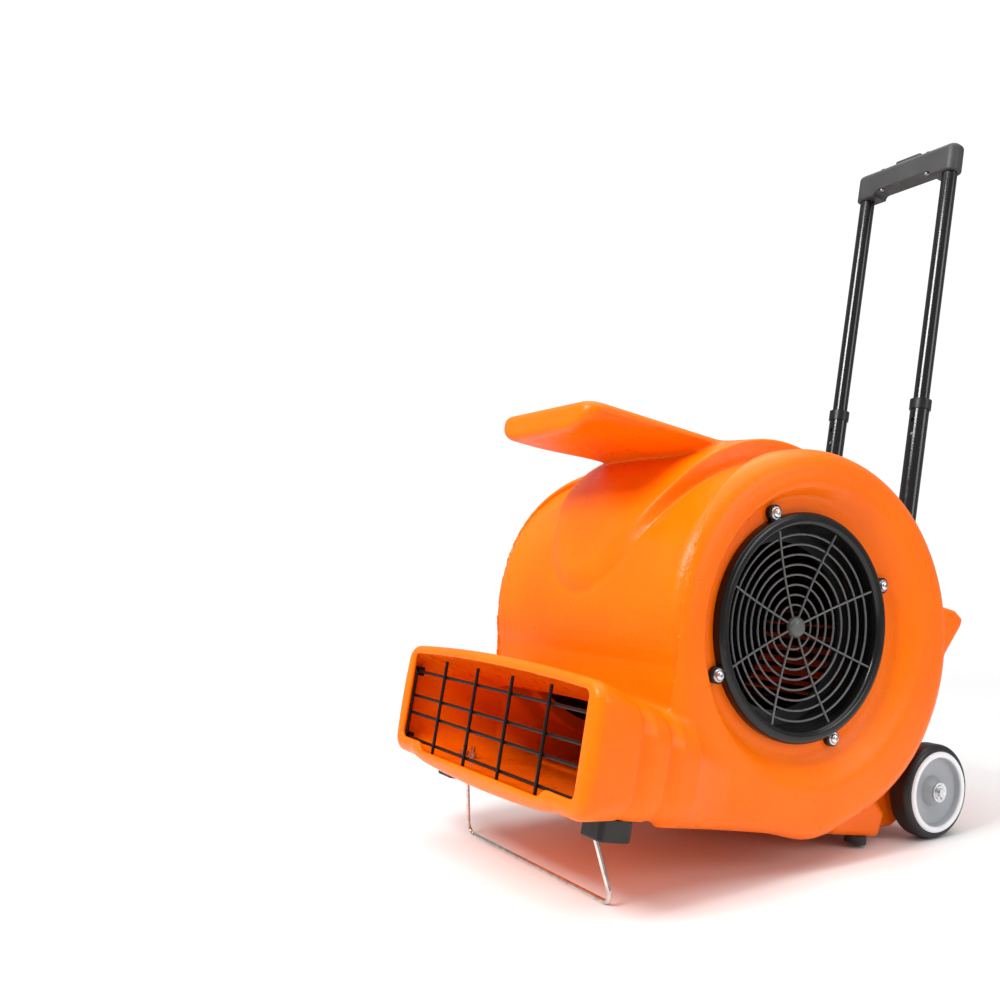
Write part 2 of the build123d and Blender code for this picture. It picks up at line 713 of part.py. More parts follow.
def kickstand():
    """One bent wire: pivot pins, two legs and the bar that stands on the floor."""
    pivot_y, pivot_z = STAND_PIVOT
    foot_y, foot_z = stand_foot()
    half = [(STAND_PIN_X, pivot_y, pivot_z), (STAND_TOP_X, pivot_y, pivot_z), (STAND_FOOT_X, foot_y, foot_z)]
    points = half + [(-x, y, z) for x, y, z in reversed(half)]
    path = FilletPolyline(*points, radius=[6, 12, 12, 6])
    return wire(path, STAND_WIRE_R)


def pivot_bracket():
    """Black block under the nozzle that holds one pin and is also the front foot."""
    body = block(BRACKET_X, BRACKET_Y, (FOOT_Z, MOUTH_BOTTOM))
    body = fillet(body.edges().filter_by(Axis.Z), 6)
    body = fillet(body.faces().sort_by(Axis.Z)[0].edges(), 2.5)
    pivot_y, pivot_z = STAND_PIVOT
    body -= disc(STAND_WIRE_R + RUNNING_GAP, STAND_TOP_X - 10, STAND_PIN_X + 1, pivot_y, pivot_z)
    for x, y in bracket_bolt_places():
        body -= post(3.0, x, y, FOOT_Z - 1, MOUTH_BOTTOM + 1)
        body -= post(5.8, x, y, FOOT_Z - 1, FOOT_Z + 5)
    return body


def bracket_bolts():
    bolts = []
    for x, y in bracket_bolt_places():
        bolts.append(post(5.2, x, y, FOOT_Z + 1, FOOT_Z + 5) + post(3.0, x, y, FOOT_Z + 5, MOUTH_BOTTOM + 20))
    return bolts


def bracket_nuts():
    nuts = []
    floor = MOUTH_BOTTOM + WALL
    for x, y in bracket_bolt_places():
        washer = post(7.5, x, y, floor, floor + 1.4)
        nut = Pos(x, y, floor + 1.4) * extrude(RegularPolygon(5.8, 6), 5)
        nuts.append(washer + nut - post(3.0, x, y, floor - 1, floor + 20))
    return nuts


def rear_foot():
    x, y = REAR_FOOT
    low, high = REAR_FOOT_Z
    pad = fillet(post(14, x, y, low, BASE_Z - 1).edges(), 1.2)
    return pad + post(3.1, x, y, BASE_Z - 1, high)


# ---------------------------------------------------------------- wheels
def wheel_x():
    return WHEEL_OUTER_X - WHEEL_WIDTH, WHEEL_OUTER_X


def axle():
    end = WHEEL_OUTER_X + 4.5
    return disc(AXLE_R, -end, end, WHEEL_Y, WHEEL_Z)


def wheel_hub():
    """Plastic hub: flat rim, dished web and a bored boss."""
    inner, outer = wheel_x()
    profile = outline((AXLE_R + RUNNING_GAP, inner), (14, inner), (18, inner + 12), (42, inner + 14),
                      (50, inner + 3), (WHEEL_RIM_R + 1.5, inner + 3), (WHEEL_RIM_R + 1.5, outer - 2.5),
                      (WHEEL_RIM_R, outer - 0.5), (46.5, outer - 0.5), (43, outer - 9), (20, outer - 13),
                      (14, outer - 3), (12.5, outer - 2), (AXLE_R + RUNNING_GAP, outer - 2))
    solid = revolve(Plane.XY * profile, Axis.Y)
    return Pos(0, WHEEL_Y, WHEEL_Z) * Rot(0, 0, -90) * solid


def tyre():
    """Solid rubber tyre with a rounded tread."""
    inner, outer = wheel_x()
    seat = WHEEL_RIM_R + 1.5
    tread = ring(WHEEL_R, seat, inner + 1, outer - 2.5)
    return Pos(0, WHEEL_Y, WHEEL_Z) * fillet(tread.edges().filter_by(GeomType.CIRCLE).group_by(SortBy.RADIUS)[-1], 8)


def wheel_washers():
    washers = []
    inner, outer = wheel_x()
    for x_from, x_to in ((BASE_HALF, inner - 0.5), (outer - 1.6, outer + 0.4)):
        washers += both(ring(13, AXLE_R, x_from, x_to, WHEEL_Y, WHEEL_Z))
    return washers


def axle_clips():
    """Spring clips in the ends of the axle."""
    outer = WHEEL_OUTER_X + 0.4
    clip = ring(9.5, AXLE_R, outer, outer + 1.5, WHEEL_Y, WHEEL_Z)
    clip -= block((outer - 1, outer + 3), (WHEEL_Y - 3.5, WHEEL_Y + 3.5), (WHEEL_Z - 20, WHEEL_Z - 2))
    return both(clip)


# ---------------------------------------------------------------- trolley handle
def cross_hole(radius, tube_radius, z):
    """Cutter through the front wall of the right-hand tube."""
    return rod_y(radius, TUBE_Y - tube_radius - 3, TUBE_Y - tube_radius + 5, TUBE_X, z)


def outer_tube():
    tube = pipe(OUTER_TUBE_R, OUTER_TUBE_BORE, TUBE_X, TUBE_Y, OUTER_TUBE_BOTTOM, OUTER_TUBE_TOP)
    for z in LOCK_Z:
        tube -= cross_hole(PIN_R + 0.6, OUTER_TUBE_R, z)
    return tube


def tube_collar():
    """Plastic guide pressed over the top of an outer tube."""
    sleeve = pipe(OUTER_TUBE_R + 1.8, OUTER_TUBE_R, TUBE_X, TUBE_Y, OUTER_TUBE_TOP - 12, OUTER_TUBE_TOP)
    lid = pipe(OUTER_TUBE_R + 1.8, INNER_TUBE_R + 0.3, TUBE_X, TUBE_Y, OUTER_TUBE_TOP, OUTER_TUBE_TOP + 3)
    return sleeve + lid


def inner_tube():
    tube = pipe(INNER_TUBE_R, INNER_TUBE_BORE, TUBE_X, TUBE_Y, INNER_TUBE_BOTTOM, INNER_TUBE_TOP)
    return tube - cross_hole(PIN_R + 0.3, INNER_TUBE_R, LOCK_Z[0])


def tube_plug():
    """Plastic plug that guides the inner tube's lower end."""
    stem = post(INNER_TUBE_BORE, TUBE_X, TUBE_Y, INNER_TUBE_BOTTOM, INNER_TUBE_BOTTOM + 14)
    flange = post(OUTER_TUBE_BORE - 0.35, TUBE_X, TUBE_Y, INNER_TUBE_BOTTOM - 4, INNER_TUBE_BOTTOM)
    return stem + flange


def lock_pin():
    """Round pin in the inner tube's front wall, with a bevelled inner end."""
    pin = rod_y(PIN_R, TUBE_Y - PIN_TIP, TUBE_Y - PIN_TRAVEL - 0.8, TUBE_X, LOCK_Z[0])
    return chamfer(pin.edges().sort_by(Axis.Y)[-1], 1.2)


def grip_body():
    """Outside of the grip as one solid: a bar with a raised middle for the fingers."""
    depth = (TUBE_Y - GRIP_DEPTH, TUBE_Y + GRIP_DEPTH)
    bar = block((-GRIP_HALF, GRIP_HALF), depth, (GRIP_BOTTOM, GRIP_TOP))
    bar = fillet(bar.edges().filter_by(Axis.Z), 12)
    bar = fillet(bar.faces().sort_by(Axis.Z)[-1].edges(), 8)
    bar = fillet(bar.faces().sort_by(Axis.Z)[0].edges(), 3)
    reach = GRIP_DEPTH + 2
    fingers = block((-FINGER_HALF, FINGER_HALF), (TUBE_Y - reach, TUBE_Y + reach), (GRIP_BOTTOM - 20, FINGER_Z))
    return bar - fillet(fingers.edges().filter_by(Axis.Y), 7)


def grip_hollow():
    """Room inside the grip for the release bar."""
    x, y = GRIP_HALF - GRIP_WALL, GRIP_DEPTH - GRIP_WALL
    room = block((-x, x), (TUBE_Y - y, TUBE_Y + y), (FINGER_Z + GRIP_WALL, GRIP_TOP - GRIP_WALL))
    return fillet(room.edges().filter_by(Axis.Z), 9)


def grip_screw_places():
    return [(x, TUBE_Y - 9.5) for x in (-42.0, 42.0)]


def grip_lower():
    """Lower half of the grip with sockets for both tubes."""
    half = grip_body() - grip_hollow()
    half &= block((-120, 120), (200, 400), (GRIP_BOTTOM - 5, GRIP_SPLIT))
    for x in (-TUBE_X, TUBE_X):
        half -= post(INNER_TUBE_R, x, TUBE_Y, GRIP_BOTTOM - 5, INNER_TUBE_TOP)
    for x, y in grip_screw_places():
        half += post(4.4, x, y, FINGER_Z + 1, GRIP_SPLIT)
        half -= post(1.8, x, y, FINGER_Z - 5, GRIP_SPLIT + 5)
    return half


def grip_upper():
    """Upper half of the grip with the button's window."""
    half = grip_body() - grip_hollow()
    half &= block((-120, 120), (200, 400), (GRIP_SPLIT, GRIP_TOP + 5))
    for x, y in grip_screw_places():
        half += post(4.4, x, y, GRIP_SPLIT, GRIP_TOP - 2)
        half -= post(1.8, x, y, GRIP_SPLIT - 5, GRIP_TOP - 6)
    window = block((-24, 24), (TUBE_Y - 8.5, TUBE_Y + 8.5), (GRIP_SPLIT + 8, GRIP_TOP + 5))
    return half - fillet(window.edges().filter_by(Axis.Z), 4)


def grip_screws():
    screws = []
    for x, y in grip_screw_places():
        head = post(3.4, x, y, FINGER_Z - 2, FINGER_Z) - block((x - 3, x + 3), (y - 0.5, y + 0.5), (FINGER_Z - 3, FINGER_Z - 1))
        screws.append(head + post(1.8, x, y, FINGER_Z, GRIP_TOP - 8))
    return screws


def release_button():
    """Push button in the grip's top, with a stem down to the release bar."""
    top = GRIP_TOP + BUTTON_TRAVEL + 1
    cap = block((-23.4, 23.4), (TUBE_Y - 7.9, TUBE_Y + 7.9), (GRIP_TOP - 4, top))
    cap = fillet(cap.edges().filter_by(Axis.Z), 3.6)
    cap = fillet(cap.faces().sort_by(Axis.Z)[-1].edges(), 2.0)
    return cap + block((-6, 6), (TUBE_Y - 3, TUBE_Y + 3), (RELEASE_BAR[1], GRIP_TOP - 3))


def release_rods():
    """Cross bar in the grip with a rod down each tube to the lock pins."""
    bar = block((-TUBE_X - 3.5, TUBE_X + 3.5), (TUBE_Y - 3, TUBE_Y + 3), RELEASE_BAR)
    low = LOCK_Z[0] + PIN_R + BUTTON_TRAVEL + 0.5
    for x in (-TUBE_X, TUBE_X):
        bar += post(2.5, x, TUBE_Y, low, RELEASE_BAR[0] + 1)
    return bar


# ---------------------------------------------------------------- all pieces
def all_pieces():
    """Every node's name with its solids, standing square at the impeller's axis."""
    pieces = {
        "housing": [housing()],
        "impeller_wheel": [impeller()],
        "impeller_hub": [impeller_hub()],
        "motor_shaft": [motor_shaft()],
        "motor_rotor": [motor_rotor()],
        "motor_stator": [motor_stator()],
        "motor_can": [motor_can()],
        "motor_rear_bell": [rear_bell()],
        "motor_drive_bell": [drive_bell()],
        "motor_bearings": motor_bearings(),
        "motor_plate": [motor_plate()],
        "motor_bolts": motor_bolts(),
        "motor_spacers": motor_spacers(),
        "run_capacitor": [run_capacitor()],
        "capacitor_clip": [capacitor_clip()],
        "switch_plate": [switch_plate()],
        "switch_body": [switch_body()],
        "speed_knob": [speed_knob()],
        "panel_screws": panel_screws(),
        "cord_gland": [cord_gland()],
        "gland_nut": [gland_nut()],
        "outlet_grille": [outlet_grille()],
        "grille_clips": grille_clips(),
        "kickstand": [kickstand()],
        "bracket_bolts": bracket_bolts(),
        "bracket_nuts": bracket_nuts(),
        "axle": [axle()],
        "wheel_washers": wheel_washers(),
        "axle_clips": axle_clips(),
        "tube_collars": both(tube_collar()),
        "tube_plugs": both(tube_plug()),
        "grip_lower": [grip_lower()],
        "grip_upper": [grip_upper()],
        "grip_screws": grip_screws(),
        "release_button": [release_button()],
        "release_rods": [release_rods()],
    }
    guard = wire_guard()
    pieces["inlet_ring_right"] = [inlet_ring(RIGHT_NECK_X)]
    pieces["inlet_ring_left"] = [mirrored(inlet_ring(FLOOR_X - WALL))]
    handed = {
        "inlet_guard": guard,
        "guard_cap": guard_cap(guard),
        "guard_screws": guard_screws(),
        "pivot_bracket": pivot_bracket(),
        "rear_foot": rear_foot(),
        "wheel_hub": wheel_hub(),
        "tyre": tyre(),
        "outer_tube": outer_tube(),
        "inner_tube": inner_tube(),
        "lock_pin": lock_pin(),
    }
    for name, shape in handed.items():
        solids = shape if isinstance(shape, list) else [shape]
        for word, sign in SIDES.items():
            pieces[name + "_" + word] = [on_side(solid, sign) for solid in solids]
    return pieces


def standing_place(pieces):
    """Placement that leans the machine back, sets it on z = 0 and centres its footprint."""
    lean = Rot(-TILT, 0, 0)
    box = Compound([lean * solid for name in EXTREMES for solid in pieces[name]]).bounding_box()
    return Pos(0, -(box.min.Y + box.max.Y) / 2, -box.min.Z) * lean


EXTREMES = ("housing", "tyre_right", "grip_upper", "release_button", "outer_tube_right")


def write_parts():
    os.makedirs("parts", exist_ok=True)
    pieces = all_pieces()
    place = standing_place(pieces)
    for name, solids in pieces.items():
        placed = [place * solid for shape in solids for solid in shape.solids()]
        export_step(placed[0] if len(placed) == 1 else Compound(placed), "parts/" + name + ".step")


if __name__ == "__main__":
    write_parts()
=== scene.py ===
import math

import bpy
import numpy as np
import openvdb
from mathutils import Matrix, Vector


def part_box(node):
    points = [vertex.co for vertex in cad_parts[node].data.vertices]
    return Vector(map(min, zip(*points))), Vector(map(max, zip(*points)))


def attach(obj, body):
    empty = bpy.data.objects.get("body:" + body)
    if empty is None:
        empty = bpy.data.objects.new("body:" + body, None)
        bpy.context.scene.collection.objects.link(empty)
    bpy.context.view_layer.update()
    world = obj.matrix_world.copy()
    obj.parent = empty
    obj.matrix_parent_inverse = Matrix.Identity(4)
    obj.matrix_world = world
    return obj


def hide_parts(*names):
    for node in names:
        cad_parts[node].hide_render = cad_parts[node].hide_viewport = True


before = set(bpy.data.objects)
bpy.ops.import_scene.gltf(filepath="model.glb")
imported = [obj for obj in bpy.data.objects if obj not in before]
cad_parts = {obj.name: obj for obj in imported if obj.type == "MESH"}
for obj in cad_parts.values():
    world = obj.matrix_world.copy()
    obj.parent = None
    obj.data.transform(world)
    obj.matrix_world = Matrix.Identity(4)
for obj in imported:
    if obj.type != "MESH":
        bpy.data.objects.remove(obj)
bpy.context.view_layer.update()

# The machine is described standing square, in millimetres, with the impeller's axis along X at
# the origin, the outlet towards -Y and the trolley tubes along Z. TO_ROW leans it back and puts
# it on the floor, in metres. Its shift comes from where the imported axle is.
TILT = math.radians(11.1)
AXLE_Y, AXLE_Z = 291.0, -178.0
VOXEL = 2.0


def to_row_matrix():
    lean = Matrix.Rotation(-TILT, 4, "X") @ Matrix.Scale(0.001, 4)
    low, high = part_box("axle")
    shift = (low + high) / 2 - lean @ Vector((0, AXLE_Y, AXLE_Z))
    return Matrix.Translation(shift) @ lean


TO_ROW = to_row_matrix()


def row(x, y, z):
    return TO_ROW @ Vector((x, y, z))


# ---------------------------------------------------------------- distance fields
def smooth_union(a, b, k):
    h = np.clip(0.5 + 0.5 * (b - a) / k, 0, 1)
    return b + (a - b) * h - k * h * (1 - h)


def smooth_both(a, b, k):
    """Where both a and b are, with a rounded edge."""
    return -smooth_union(-a, -b, k)


def smooth_cut(a, b, k):
    return smooth_both(a, -b, k)


def rounded(a, b, r):
    """Corner of radius r where two distances meet at a right angle."""
    a, b = a + r, b + r
    outside = np.sqrt(np.maximum(a, 0) ** 2 + np.maximum(b, 0) ** 2)
    return outside + np.minimum(np.maximum(a, b), 0) - r


def polygon(points, y, z, r=0.0):
    """Signed distance to a closed outline in the Y-Z plane, its corners rounded to r."""
    pts = np.array(points, float)
    if r:
        pts = shrunk(pts, r)
    nearest = np.full(np.broadcast(y, z).shape, 1e9)
    inside = np.zeros(nearest.shape, bool)
    for (ay, az), (by, bz) in zip(pts, np.roll(pts, -1, axis=0)):
        ey, ez = by - ay, bz - az
        t = np.clip(((y - ay) * ey + (z - az) * ez) / (ey * ey + ez * ez), 0, 1)
        nearest = np.minimum(nearest, np.hypot(y - ay - t * ey, z - az - t * ez))
        if az != bz:
            crosses = ((az > z) != (bz > z)) & (y < ay + (z - az) * ey / ez)
            inside ^= crosses
    return np.where(inside, -nearest, nearest) - r


def shrunk(pts, r):
    """Convex outline with every side moved inwards by r."""
    area = np.sum(pts[:, 0] * np.roll(pts[:, 1], -1) - np.roll(pts[:, 0], -1) * pts[:, 1])
    turn = 1.0 if area > 0 else -1.0
    sides = []
    for a, b in zip(pts, np.roll(pts, -1, axis=0)):
        d = (b - a) / np.linalg.norm(b - a)
        normal = np.array([-d[1], d[0]]) * turn
        sides.append((normal, normal @ a + r))
    corners = []
    for (n1, c1), (n2, c2) in zip([sides[-1]] + sides[:-1], sides):
        corners.append(np.linalg.solve(np.array([n1, n2]), np.array([c1, c2])))
    return np.array(corners)


# ---------------------------------------------------------------- the moulded shell
CREST_FRONT = 211.0             # scroll radius at the front, and how much it grows to the rear
CREST_GROWTH = 54.0
SCROLL_WIDEST = -22.0
SCROLL_POWER = 1.7
UNDERSIDE = -246.0
RIM_OUTER_X = 206.0
RIM_ROUND = 26.0
RECESS_X = 186.0
RECESS_FLOOR_R = 158.0
INLET_R = 130.0
WALL = 5.0
MOUTH_Y = -311.0
MOUTH_HALF = 231.0
MOUTH_TOP = -96.0
MOUTH_CROWN = 8.0
MOUTH_SLOPE = 0.2085
MOUTH_LOW = -241.0
NOZZLE_REAR_Y = -100.0
NOZZLE_TAPER = 0.072
GROOVES = (-248.0, -206.0)      # y of the two saw-tooth grooves round the nozzle
GROOVE_RUN = 21.0
GROOVE_DEPTH = 4.6
HANDLE_HALF = 105.0
HANDLE_FRONT, HANDLE_REAR = -297.0, -20.0
HANDLE_TOP, HANDLE_LOW = 218.0, 182.0
BELT_HALF = 130.0
BIB_Z, BIB_DROP = 235.0, 229.0  # middle of the bib's ellipse and its reach below that
LIP_HALF = 175.0
WINDOW_HALF = 209.0
SCOOP_HALF = 150.0
CONSOLE_HALF = 140.0
BASE_HALF = 148.0
SOLE_HALF = 166.0
SEAT = 232.0                    # switch plate's seat, out from the impeller's axis at 45 degrees
SEAT_HALF_X, SEAT_HALF = 61.0, 49.0
TUBE_X, TUBE_Y, TUBE_BORE = 77.0, 296.0, 13.6
HALF_ROOT = math.sqrt(0.5)

# Side outlines (y, z) of the three blocks behind and below the drum
CONSOLE = [(180, 82), (352, 73), (369, 64), (367, 52), (341, 9), (310, -62), (262, -96), (180, -70)]
BASE = [(110, -205), (126, -247), (200, -247), (262, -235), (303, -208), (320, -193),
        (323, -170), (310, -148), (232, -112), (150, -150)]
SOLE = [(112, -205), (126, -247), (214, -247), (222, -215), (190, -190)]


def scroll_outline():
    """Crest of the rims: a spiral over the top, closed by the flat underside."""
    turn = np.radians(np.arange(200, -61, -4))
    share = ((1 + np.cos(turn - math.radians(SCROLL_WIDEST))) / 2) ** SCROLL_POWER
    radius = CREST_FRONT + CREST_GROWTH * share
    points = list(zip(radius * np.cos(turn), radius * np.sin(turn)))
    y0, z0 = points[-1]
    slope = Vector((math.sin(turn[-1]), -math.cos(turn[-1]))).normalized() * 95
    for i in range(1, 13):
        t = i / 12
        a, b, c, d = (1 - t) ** 3, 3 * t * (1 - t) ** 2, 3 * t * t * (1 - t), t ** 3
        points.append((a * y0 + b * (y0 + slope.x) + c * 45 + d * -30,
                       a * z0 + b * (z0 + slope.y) + (c + d) * UNDERSIDE))
    return points + [(-175, UNDERSIDE)]


def ease(t):
    """Smooth step from 0 to 1."""
    t = np.clip(t, 0, 1)
    return t * t * (3 - 2 * t)


def drum_depth(y, z):
    """How far the drum lies below the rims' crest: less towards the front."""
    angle = np.abs(np.degrees(np.arctan2(z, y)))
    return 6 + 4 * ease((165 - angle) / 50)


def belt_field(x, y, z, region, drum):
    """Raised belt over the top, swelling under the handle and ending below as a rounded bib."""
    angle = np.degrees(np.arctan2(z, y))
    angle = np.where(angle < -90, angle + 360, angle)
    middle = 212 + 26 * ease((168 - angle) / 44) - 4 * ease((125 - angle) / 40)
    edge = 211 + 23 * ease((165 - angle) / 75)
    crest = np.hypot(y, z) - middle - (edge - middle) * (x / BELT_HALF) ** 2
    height = np.maximum(drum - crest, 1)
    width = 5 + 12 * ease((150 - z) / 90)
    slant = (height * region + width * drum) / np.hypot(height, width)
    belt = smooth_both(crest, slant, 3 + 3 * ease((150 - z) / 90))
    return np.maximum(belt, np.maximum(region - 14, -20 - z))


def rim_inner_x(y, z):
    """Inner edge of each rim, which narrows to nothing at the front."""
    cosine = y / np.maximum(np.hypot(y, z), 1)
    return np.maximum(201 - 57.5 * (1 + cosine), 146)


def duct(x, y, z, wall=0.0, edge=12.0):
    """Rounded outlet duct: barrel-sided, its top sloping and crowned, grooved on the outside."""
    first = MOUTH_Y + 1.4 * wall
    step = NOZZLE_TAPER * np.clip(y + 295, 0, 150) + 20 * np.clip((y + 160) / 60, 0, 1)
    notch = 0.0
    if wall == 0:
        for groove in GROOVES:
            run = (y - groove) / GROOVE_RUN
            notch = notch + GROOVE_DEPTH * ease((y - groove + 1) / 2) * np.clip(1 - run, 0, 1)
    height = (z + 170) / 72
    half = MOUTH_HALF - 3 + 5 * (1 - height ** 2) - step - notch - 2 * wall
    crown = MOUTH_CROWN * (1 - (x / MOUTH_HALF) ** 2)
    top = MOUTH_TOP - MOUTH_SLOPE * (y - MOUTH_Y) + crown - (step + notch) * 0.6 - 2 * wall
    low = MOUTH_LOW + wall + notch / 2
    turn = 20 - 0.5 * wall + 14 * ease((y + 300) / 60)
    across = rounded(x - half, np.abs(z - (top + low) / 2) - (top - low) / 2, turn)
    along = np.maximum(first - y, y - NOZZLE_REAR_Y + wall)
    return rounded(across, along, edge)


def lower_lip(x, y, z):
    """Bulge of the front lip under the middle of the opening."""
    drop = 4 * ease((168 - x) / 26) + 5 * np.clip(1 - (x / SCOOP_HALF) ** 2, 0, 1)
    drop = drop * ease((-246 - y) / 45)
    across = rounded(x - LIP_HALF, np.abs(z + 205 + drop / 2) - (36 + drop / 2), 14)
    return rounded(across, np.abs(y + 276) - 35, 12)


def carry_handle(x, y, z):
    """Slab that reaches forward from the belt, its lower edges drawn up at the sides."""
    middle = (HANDLE_FRONT + HANDLE_REAR) / 2
    flat = rounded(x - HANDLE_HALF, np.abs(y - middle) - (HANDLE_REAR - middle), 24)
    low = HANDLE_LOW + 16 * np.clip((x - 58) / 47, 0, 1.2) ** 2
    low = low + 5 * ease((y + 260) / 110)
    return rounded(flat, np.maximum(z - HANDLE_TOP, low - z), 11)


def inlet_recess(x, y, z):
    """Dished hollow: flat floor, sloping wall, its mouth set back from its floor."""
    rise = x - RECESS_X
    cone = np.hypot(y + 2 - 0.85 * rise, z + 0.25 * rise) - RECESS_FLOOR_R - rise
    return smooth_both(cone * HALF_ROOT, -rise, 5)


def mouth_opening(x, y, z):
    """Opening in the front lip: crowned top and a lower scoop in the middle."""
    top = -110 + 7 * (1 - (x / MOUTH_HALF) ** 2)
    window = rounded(x - WINDOW_HALF, np.abs(z - (top - 220) / 2) - (top + 220) / 2, 7)
    scoop = rounded(x - SCOOP_HALF, np.abs(z + 218) - 12, 11)
    return np.maximum(smooth_union(window, scoop, 10), y + 290)


def shell_field(x, y, z):
    """Distance to the shell's surface; x is never negative, the other half is its mirror."""
    scroll = polygon(scroll_outline(), y, z)
    depth = drum_depth(y, z)
    drum = rounded(x - RIM_OUTER_X, scroll + depth, RIM_ROUND)
    rim = np.maximum(rounded(x - RIM_OUTER_X, scroll, RIM_ROUND), rounded(rim_inner_x(y, z) - x, scroll, 4))
    body = smooth_union(drum, rim, 2)
    bib = ellipse_field(x, z - BIB_Z, BELT_HALF, BIB_DROP)
    region = np.where(y < 0, bib, x - BELT_HALF)
    body = smooth_union(body, belt_field(x, y, z, region, scroll + depth), 3)
    groove = 2.2 * np.clip((z - 60) / 70, 0, 1)
    channel = smooth_both(np.abs(region - 4.5) - 4, -(scroll + depth + groove), 3)
    body = smooth_cut(body, channel, 3)
    body = smooth_union(body, smooth_union(duct(x, y, z), lower_lip(x, y, z), 6), 12)
    body = smooth_union(body, carry_handle(x, y, z), 7)
    body = smooth_union(body, rounded(polygon(CONSOLE, y, z, 6), x - CONSOLE_HALF, 9), 8)
    body = smooth_union(body, rounded(polygon(BASE, y, z, 8), x - BASE_HALF, 12), 10)
    body = smooth_union(body, rounded(polygon(SOLE, y, z, 6), x - SOLE_HALF, 10), 16)
    out = (y + z) * HALF_ROOT
    along = np.abs(z - y) * HALF_ROOT
    face = rounded(x - SEAT_HALF_X - 1, along - SEAT_HALF - 1, 12)
    boss = rounded(face, np.maximum(out - SEAT, 160 - out), 3)
    body = smooth_union(body, boss, 8)
    body = smooth_cut(body, rounded(rounded(x - SEAT_HALF_X, along - SEAT_HALF, 10), SEAT - out, 1), 3)
    body = smooth_cut(body, inlet_recess(x, y, z), 7)
    body = smooth_cut(body, air_field(x, y, z, scroll + depth), 3)
    body = smooth_cut(body, mouth_opening(x, y, z), 5)
    body = smooth_cut(body, np.maximum(np.hypot(y, z) - INLET_R, 160 - x), 3)
    tubes = np.maximum(np.hypot(x - TUBE_X, y - TUBE_Y) - TUBE_BORE, np.maximum(z - 120, -158 - z))
    return smooth_cut(body, tubes, 2)


def ellipse_field(x, z, a, b):
    """Near-distance to an ellipse, true at its edge."""
    f = np.sqrt((x / a) ** 2 + (z / b) ** 2)
    slope = np.sqrt((x / a ** 2) ** 2 + (z / b ** 2) ** 2) / np.maximum(f, 1e-6)
    return (f - 1) / np.maximum(slope, 1e-6)


def air_field(x, y, z, drum):
    """Hollow inside the drum, the rims and the outlet."""
    air = np.maximum(drum + WALL, x - RECESS_X + WALL)
    rim = np.maximum(drum + 9, 192 - np.hypot(y - 15, z + 5))
    rim = np.maximum(rim, np.abs(x - 181) - 13)
    air = smooth_union(air, rim, 4)
    return smooth_union(air, duct(x, y, z, WALL, 2), 6)


def surface_from_field(name):
    """Mesh of the shell's zero level, both halves, in the row frame."""
    lows, highs = (-236, -318, -254), (236, 374, 240)
    x, y, z = [np.arange(lo, hi + VOXEL, VOXEL) for lo, hi in zip(lows, highs)]
    middle = len(x) // 2
    half = x[middle:] - x[middle]
    field = shell_field(half[:, None, None], y[None, :, None], z[None, None, :])
    field = np.concatenate([field[:0:-1], field]).astype(np.float32)
    grid = openvdb.FloatGrid(4 * VOXEL)
    grid.copyFromArray(np.ascontiguousarray(np.clip(field, -4 * VOXEL, 4 * VOXEL)))
    points, quads = grid.convertToQuads(0.0)
    origin = np.array([-half[-1], y[0], z[0]])
    points = points * VOXEL + origin
    mesh = bpy.data.meshes.new(name)
    mesh.vertices.add(len(points))
    mesh.vertices.foreach_set("co", points.astype(np.float32).ravel())
    mesh.loops.add(quads.size)
    mesh.loops.foreach_set("vertex_index", quads[:, ::-1].astype(np.int32).ravel())
    mesh.polygons.add(len(quads))
    mesh.polygons.foreach_set("loop_start", np.arange(0, quads.size, 4, dtype=np.int32))
    mesh.update(calc_edges=True)
    mesh.validate()
    mesh.transform(TO_ROW)
    mesh.shade_smooth()
    obj = bpy.data.objects.new(name, mesh)
    bpy.context.scene.collection.objects.link(obj)
    return obj


